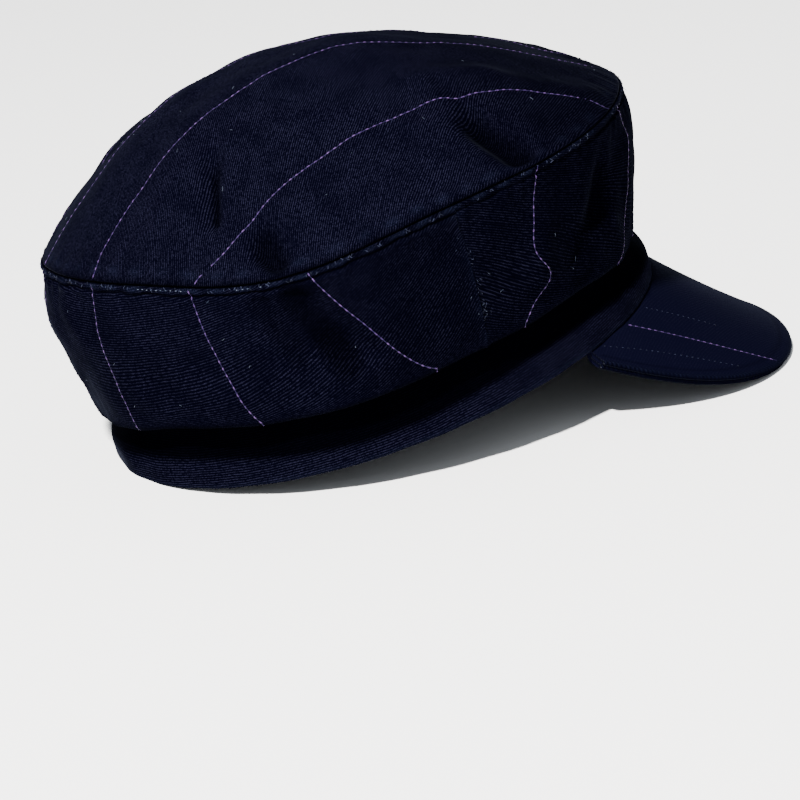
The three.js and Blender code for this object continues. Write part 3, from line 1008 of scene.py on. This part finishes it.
def crown_side(node, first, last, stripes, grain):
    columns = SIDE_COLUMNS
    u = np.linspace(0, 1, columns)
    u = u - END_CROWDING * np.sin(2 * math.pi * u)
    angles = lerp(first + SIDE_MARGIN, last - SIDE_MARGIN, u)
    stops = stations(SIDE_ROWS)
    beside = np.minimum(angles - first, last - angles)
    turn_in = END_ROLL * np.exp(-beside / END_ROLL_REACH)
    outer = side_base(angles[None, :], stops[:, None])
    rolled = turn_in[None, :, None] * smoothstep(stops, 1, 2)[:, None, None]
    outer = outer + rolled * grid_normals(outer, False)
    wide = np.concatenate([[2 * angles[0] - angles[1]], angles, [2 * angles[-1] - angles[-2]]])
    line, out, down = (v[1:-1] for v in seam_frame(wide))
    turned = turned_edge(outer[-1], line, out, down, SIDE_PROUD)
    inner_stops = stations(SIDE_INNER_ROWS)
    coarse = side_base(angles[None, :], inner_stops[:, None])
    normals = -grid_normals(coarse, False)
    wall = np.where(inner_stops <= 2, TUCKED_CLOTH, CLOTH)[:, None, None]
    inner = coarse - normals * wall
    seat_out = crown_at("top", angles) - SEAT_ON_BAND
    inner[-1] = plan_point(angles, seat_out, BAND_HEIGHT + GAP + TUCKED_CLOTH)
    section = np.concatenate([outer, turned, inner])
    rows = len(section)
    faces = grid_faces(rows, columns, True, False)
    faces.extend(end_caps(rows, columns, len(outer)))
    over = np.linspace(3.965, 4, ROLL_STEPS - 1)
    places = np.concatenate([stops, over, [4.15, 4.2, 4.1], inner_stops])
    uv = side_uv(stripes, angles, places, grain).reshape(-1, 2)
    wear = side_wear(angles, places, beside)
    # painted shade of the panel
    painted_shade = side_painted_shade(angles, places)
    obj = make_mesh(node + "_cloth", section.reshape(-1, 3), faces, uv, wear, painted_shade)
    return dress(obj, SIDE_DENIM, "striped_denim", node)


def end_caps(rows, columns, outer_rows):
    """Closes the two ends of a swept section with fans that follow the wall."""
    caps = []
    a, b = 0, rows - 1
    while b - a > 2:
        # walk up whichever side is behind, so that the strip stays across the wall
        share_a = (a + 1) / outer_rows
        share_b = (rows - b) / (rows - outer_rows)
        if share_a <= share_b:
            caps.append((a, a + 1, b))
            a += 1
        else:
            caps.append((a, b - 1, b))
            b -= 1
    caps.append((a, a + 1, b))
    left = [tuple(k * columns for k in cap)[::-1] for cap in caps]
    right = [tuple(k * columns + columns - 1 for k in cap) for cap in caps]
    return left + right


def headband():
    columns = RING_COLUMNS
    angles = np.arange(columns) * (360 / columns)
    s = rim_arc(angles)
    half = BAND_WALL / 2
    # up the outer face, over the rounded edge, down the inner face and round the foot
    rise = np.linspace(half, BAND_HEIGHT - BAND_ROUND, 30)
    bend = np.linspace(0, math.pi / 2, 5)[1:]
    descent = np.linspace(BAND_HEIGHT, half, 12)
    foot = np.linspace(0, math.pi, 9)[1:-1]
    outs = np.concatenate([
        0 * rise,
        -BAND_ROUND * (1 - np.cos(bend)),
        0 * descent - BAND_WALL,
        -half - half * np.cos(foot),
    ])[:, None]
    heights = np.concatenate([
        rise,
        BAND_HEIGHT - BAND_ROUND + BAND_ROUND * np.sin(bend),
        descent,
        half - half * np.sin(foot),
    ])[:, None]
    wave = band_waves(s[None, :], heights) * smoothstep(heights, BAND_HEIGHT, BAND_WAVE_FULL)
    outer = outs > -BAND_WALL / 2
    around = np.where(outer, 0, BAND_INSIDE_CLOTH) + heights
    shape = outs + band_out(angles[None, :], heights)
    shape = shape + np.minimum(wave, BAND_WAVE_MOST) * BAND_WAVE_SHARE
    section = plan_point(angles[None, :], shape, heights + 0 * wave)
    faces = grid_faces(len(outs), columns, True, True)
    uv = np.stack(np.broadcast_arrays(s[None, :], around + 0 * s[None, :]), -1).reshape(-1, 2)
    wear = bump(heights, *FOOT_WEAR) * outer + 0 * s[None, :]
    # Painted shadow: the band is darkened above a swaying height, where the crown's lower fold shades
    # it
    sway = np.cos(radians(SHADOW_TURNS * (angles - SHADOW_CREST)))
    shadow_from = SHADOW_HEIGHT + SHADOW_SWAY * sway[None, :]
    painted_shade = smoothstep(heights - shadow_from, -SHADOW_FADE, SHADOW_FADE)
    obj = make_mesh("headband_cloth", press(section.reshape(-1, 3)), faces, uv, wear, painted_shade)
    return dress(obj, BAND_DENIM, "band_denim", "headband")


def press(points):
    """Flattens what would reach below the floor onto it."""
    placed = points @ TURN.T + SHIFT
    placed[:, 2] = np.maximum(placed[:, 2], 0.02)
    return (placed - SHIFT) @ TURN


def peak_layer(node, upper, lower):
    u = np.linspace(-1, 1, PEAK_COLUMNS)
    sides = PEAK_END * np.sin(u * math.pi / 2)
    v = np.linspace(0, 1, PEAK_ROWS)
    top = peak_cloth(sides[None, :], v[:, None], upper)
    bottom = peak_cloth(sides[None, :], v[::-1, None], lower)
    if upper == 0:
        # the root is tucked in under the band's rounded edge
        backward = unit(top[0] - top[1]) * np.array([1, 1, 0])
        tuck = unit(backward) * ROOT_TUCK + np.array([0, 0, ROOT_SUNK])
        top[0] += tuck
        bottom[-1] += tuck
    arc = length_along(top[-1])
    beads = 0.5 + 0.5 * np.sin(2 * math.pi * arc / EDGE_STITCH)
    reach = PEAK_REACH * (1 - np.abs(sides) ** PEAK_ROUNDING) ** PEAK_CORNER
    inward = reach[None, :] * (1 - v[:, None])
    grooved = v[:, None] > GROOVE_FROM
    lift = bump(inward, *EDGE_BUMP) * beads[None, :] + bump(inward, *EDGE_GROOVE) * grooved
    top = top + lift[..., None] * np.array([0, 0, 1.0])
    middle = (top[-1] + bottom[0]) / 2
    bulge = unit(top[-1] - top[-2]) * (NOSE + NOSE_BEADS * beads[:, None])
    section = np.concatenate([top, (middle + bulge)[None], bottom])
    faces = grid_faces(len(section), PEAK_COLUMNS, True, False, flip=True)
    left = list(range(0, len(section) * PEAK_COLUMNS, PEAK_COLUMNS))
    right = [k + PEAK_COLUMNS - 1 for k in left]
    faces.extend(strip_cap(left, PEAK_ROWS, False) + strip_cap(right, PEAK_ROWS, True))
    uv = section[..., :2] * np.array(PEAK_CLOTH_STRETCH)
    wear = np.zeros(section.shape[:2])
    wear[:PEAK_ROWS] = bell(inward, 0, 1.0) * (EDGE_WEAR_BETWEEN + EDGE_WEAR * beads[None, :])
    wear[PEAK_ROWS] = EDGE_WEAR * beads
    # Painted shade between the edge's beads, in its groove, on its nose and under the edge
    painted_shade = np.zeros(section.shape[:2])
    between = bump(inward, *EDGE_DARK) * (1 - beads[None, :])
    painted_shade[:PEAK_ROWS] = between + bump(inward, *EDGE_GROOVE_DARK) * grooved
    painted_shade[PEAK_ROWS] = NOSE_DARK - NOSE_DARK_BEADS * beads
    painted_shade[PEAK_ROWS + 1:PEAK_ROWS + 1 + UNDERSIDE_DARK_ROWS] = EDGE_DARK[0]
    skin = press(section.reshape(-1, 3))
    obj = make_mesh(node + "_cloth", skin, faces, uv.reshape(-1, 2), wear, painted_shade)
    return dress(obj, PEAK_DENIM, "peak_denim", node)


def strip_cap(loop, rows, flip):
    caps = []
    n = len(loop)
    for k in range(rows - 1):
        quad = (loop[k], loop[k + 1], loop[n - 2 - k], loop[n - 1 - k])
        caps.append(quad[::-1] if flip else quad)
    nose = (loop[rows - 1], loop[rows], loop[rows + 1])
    caps.append(nose[::-1] if flip else nose)
    return caps


class Sewing:
    """Gathers threads of one colour that lie on one panel into one mesh."""

    def __init__(self):
        self.points = []
        self.faces = []
        self.count = 0

    def strand(self, centre, normal, radii, flat=0.75, around=6):
        """A closed tube along the centre line, pointed at both ends."""
        along = unit(np.gradient(centre, axis=0))
        side = unit(np.cross(along, normal))
        turn = np.arange(around) * (2 * math.pi / around)
        sideways = np.cos(turn)[:, None] * side[:, None, :]
        ring = sideways + flat * np.sin(turn)[:, None] * normal[:, None, :]
        body = centre[:, None, :] + ring * radii[:, None, None]
        rows = len(centre)
        first = self.count
        self.points += [body.reshape(-1, 3), centre[:1], centre[-1:]]
        self.faces += grid_faces(rows, around, False, True, first)
        start = first + rows * around
        last = first + (rows - 1) * around
        for k in range(around):
            n = (k + 1) % around
            self.faces.append((start, first + n, first + k))
            self.faces.append((start + 1, last + k, last + n))
        self.count = start + 2

    def line(self, path, normal, radius):
        radii = np.full(len(path), radius)
        radii[[0, -1]] = radius * 0.3
        self.strand(path, normal, radii)

    def dashes(self, path, normal, period, share, radius, rise, sink=0.12):
        """Stitches along a path, each rising from the cloth and dipping back into it."""
        arc = length_along(path)
        start = RNG.uniform(0, period) * 0.25
        while start + period * share < arc[-1]:
            length = period * share * RNG.uniform(0.85, 1.12)
            s = np.linspace(start, min(start + length, arc[-1]), len(STITCH_BOW))
            centre = np.stack([np.interp(s, arc, path[:, k]) for k in range(3)], -1)
            up = unit(np.stack([np.interp(s, arc, normal[:, k]) for k in range(3)], -1))
            centre = centre + up * (rise * STITCH_BOW - sink * (1 - STITCH_BOW))[:, None]
            self.strand(centre, up, radius * STITCH_TAPER, 0.5)
            start += period * RNG.uniform(0.94, 1.06)

    def finish(self, name, material, slot):
        obj = make_mesh(name, np.concatenate(self.points), self.faces)
        return dress(obj, material, slot)


def on_skin(surface, a, b, step_a, step_b, sign):
    """Points and outward normals of a cloth surface at (a, b)."""
    da = surface(a + step_a, b) - surface(a - step_a, b)
    db = surface(a, b + step_b) - surface(a, b - step_b)
    return surface(a, b), unit(np.cross(da, db)) * sign


def on_top(angle, reach):
    return on_skin(top_cloth, angle, reach, 0.2, 0.002, -1)


def on_side(angle, v):
    return on_skin(side_base, angle, v, 0.2, 0.01, 1)


def side_yarn(angle, v, slant, climb, lift):
    """Line and normals of a short yarn on a side panel, which dips into the cloth at both ends."""
    step = np.linspace(-1, 1, len(lift))
    path, normal = on_side(angle + slant * step, v + climb * step)
    return path + normal * lift[:, None], normal


# Direction of the rim as seen from the middle of the top, for points given in plan
RIM_PLAN = plan_point(ROUND, crown_at("rimOut", ROUND), 0)
RIM_DIRECTION = np.unwrap(np.arctan2(RIM_PLAN[:, 1], RIM_PLAN[:, 0]))
RIM_REACH = np.hypot(RIM_PLAN[:, 0], RIM_PLAN[:, 1])


def top_place(x, y):
    direction = np.arctan2(y, x)
    angle = np.interp(direction, RIM_DIRECTION, ROUND)
    return angle, np.hypot(x, y) / np.interp(direction, RIM_DIRECTION, RIM_REACH)


class Pinstripes:
    """Bright stitches over a thin dark thread, for the stripes of one panel."""

    def __init__(self):
        self.bright = Sewing()
        self.dark = Sewing()

    def add(self, path, normal):
        self.bright.dashes(path, normal, **PIN_STITCH)
        self.dark.line(path - normal * LOW_SINK, normal, LOW_RADIUS)

    def finish(self, node, slot):
        self.bright.finish(node + "_pinstripe", PURPLE, slot)
        self.dark.finish(node + "_pinstripe_low", PURPLE_DARK, slot)


def top_stripes():
    stripes = Pinstripes()
    for y, turn_in in TOP_STRIPES:
        x = np.linspace(-130, 110, 961)
        angle, reach = top_place(x, y + turn_in * smoothstep(x, -62, -80))
        inside = reach < 0.995
        stripes.add(*on_top(angle[inside], reach[inside]))
    stripes.finish("crown_top", "striped_denim")


def side_stripes(node, first, last, stripes):
    sewn = Pinstripes()
    v = np.linspace(1.35, 3.98, 240)
    for angle in stripe_angles(stripes, v).T:
        on_panel = (angle > first + 0.4) & (angle < last - 0.4)
        if on_panel.sum() >= 20:
            sewn.add(*on_side(angle[on_panel], v[on_panel]))
    sewn.finish(node, "striped_denim")


def peak_row(y_from, y_to, v_from, v_to):
    """A line across the peak that starts and ends at given distances to the side."""
    sides = np.linspace(-0.95, 0.95, 400)
    v = np.linspace(v_from, v_to, 150)
    found = []
    for share, reach in zip(np.linspace(0, 1, len(v)), v):
        ys = peak_cloth(sides, reach)[:, 1]
        found.append(np.interp(lerp(y_from, y_to, share), ys, sides))
    return on_skin(peak_cloth, np.array(found), v, 0.004, 0.01, -1)


def peak_threads():
    stripes, navy = Pinstripes(), Sewing()
    for y in PEAK_STRIPES:
        stripes.add(*peak_row(y, y, 0.02, 0.98))
    for y_from, y_to, reach in QUILT_ROWS:
        for hand in (-1, 1):
            path, normal = peak_row(hand * y_from, hand * y_to, 0.03, reach)
            navy.dashes(path, normal, **QUILT_STITCH)
    stripes.finish("peak", "peak_denim")
    navy.finish("peak_quilting", NAVY, "peak_denim")


def seam_flecks():
    """Pale stitches where the rim seam is pulled tight, and loose yarns in it and in the side seam."""
    pale, navy = Sewing(), Sewing()
    for first, last in SEAM_FLECKS:
        angle = np.linspace(first, last, 60)
        path, normal = on_side(angle, FLECK_STOP + 0 * angle)
        pale.dashes(path, normal, **FLECK_STITCH)
    for angle in RNG.uniform(0, 360, SEAM_YARNS):
        v = RIM_YARN["stop"] + RNG.uniform(-RIM_YARN["spread"], RIM_YARN["spread"])
        slant = RNG.uniform(-RIM_YARN["slant"], RIM_YARN["slant"])
        path, normal = side_yarn(angle, v, slant, RIM_YARN["climb"], RIM_YARN_LIFT)
        navy.line(path, normal, RNG.uniform(*RIM_YARN["radius"]))
    for angle in SIDE_SEAM + RNG.normal(SEAM_YARN_OFFSET, SEAM_YARN_SPREAD, SIDE_SEAM_YARNS):
        v = RNG.uniform(*SEAM_YARN["stops"])
        slant = RNG.uniform(-SEAM_YARN["slant"], SEAM_YARN["slant"])
        path, normal = side_yarn(angle, v, slant, SEAM_YARN["climb"], SEAM_YARN_LIFT)
        sewing = pale if RNG.uniform() < PALE_YARN_SHARE else navy
        sewing.line(path, normal, RNG.uniform(*SEAM_YARN["radius"]))
    pale.finish("rim_seam_flecks", PALE, "striped_denim")
    navy.finish("rim_seam_yarns", NAVY, "striped_denim")


def lint():
    """Short loose fibres and specks that cling to the cloth."""
    pale = Sewing()
    for _ in range(LINT_COUNT):
        if RNG.uniform() < 0.5:
            surface, sign = top_cloth, -1
            a, b = RNG.uniform(0, 360), math.sqrt(RNG.uniform(0.05, 0.9))
        else:
            surface, sign = side_base, 1
            a, b = RNG.uniform(100, 400), RNG.uniform(2.2, 3.8)
        point, normal = on_skin(surface, np.array([a]), np.array([b]), 0.3, 0.01, sign)
        normal = normal[0]
        way = unit(np.cross(normal, RNG.normal(size=3)))
        bend = np.cross(normal, way)
        length = RNG.uniform(*LINT_LENGTH)
        s = np.linspace(-0.5, 0.5, 7)[:, None]
        curl = RNG.uniform(-LINT_CURL, LINT_CURL)
        path = point + length * (s * way + curl * (s * s - 0.1) * bend)
        path = path + normal * (LINT_LIFT - LINT_DIP * s * s)
        normals = np.repeat(normal[None], len(s), 0)
        pale.strand(path, normals, np.full(len(s), RNG.uniform(*LINT_RADIUS)), 1.0, 4)
    pale.finish("cloth_lint", PALE, "striped_denim")


def add_floor():
    mesh = bpy.data.meshes.new("floor")
    corners = [(x * FLOOR_HALF, y * FLOOR_HALF, 0) for x, y in ((-1, -1), (1, -1), (1, 1), (-1, 1))]
    mesh.from_pydata(corners, [], [(0, 1, 2, 3)])
    floor = link("floor", mesh)
    nodes = Nodes("pale_floor")
    nodes.fill(nodes.shader, {
        "Base Color": FLOOR_COLOUR,
        "Roughness": 0.95,
        "Specular IOR Level": 0.1,
    })
    mesh.materials.append(nodes.material)


def add_sun():
    """A small round lamp that stands where the sun was: high, behind and to the wearer's right."""
    turn, height = math.radians(SUN_TURN), math.radians(SUN_HEIGHT)
    way = np.array([
        math.cos(height) * math.cos(turn),
        math.cos(height) * math.sin(turn),
        math.sin(height),
    ])
    back = TURN @ way
    side = unit(np.cross([0, 0, 1.0], back))
    data = bpy.data.lights.new("sun", "AREA")
    data.shape = "DISK"
    data.size = SUN_SIZE
    data.energy = SUN_POWER
    data.color = SUN_COLOUR
    place = back * SUN_DISTANCE + np.array([0, 0, SUN_AIM])
    set_at(link("sun", data), [side, np.cross(back, side), back], place)


def add_sky():
    world = bpy.data.worlds.new("world")
    bpy.context.scene.world = world
    world.use_nodes = True
    background = world.node_tree.nodes["Background"]
    background.inputs["Color"].default_value = SKY_COLOUR
    background.inputs["Strength"].default_value = SKY


add_camera()

# The side panels: node, first and last angle, and stripes. grain is the angle at which the weft runs
# level, and how fast it turns from there.
BACK_PANEL = ("crown_side_back", SIDE_SEAM - 180, SIDE_SEAM, BACK_STRIPES)
FRONT_PANEL = ("crown_side_front", SIDE_SEAM - 360, SIDE_SEAM - 180, FRONT_STRIPES)
crown_top()
crown_side(*BACK_PANEL, grain=(203, 0.55))
crown_side(*FRONT_PANEL, grain=(0, 0.42))
headband()
peak_layer("peak_upper", 0.0, PEAK_LAYER)
peak_layer("peak_under", PEAK_LAYER + GAP, 2 * PEAK_LAYER + GAP)

top_stripes()
side_stripes(*BACK_PANEL)
side_stripes(*FRONT_PANEL)
peak_threads()
seam_flecks()
lint()

add_floor()
add_sun()
add_sky()
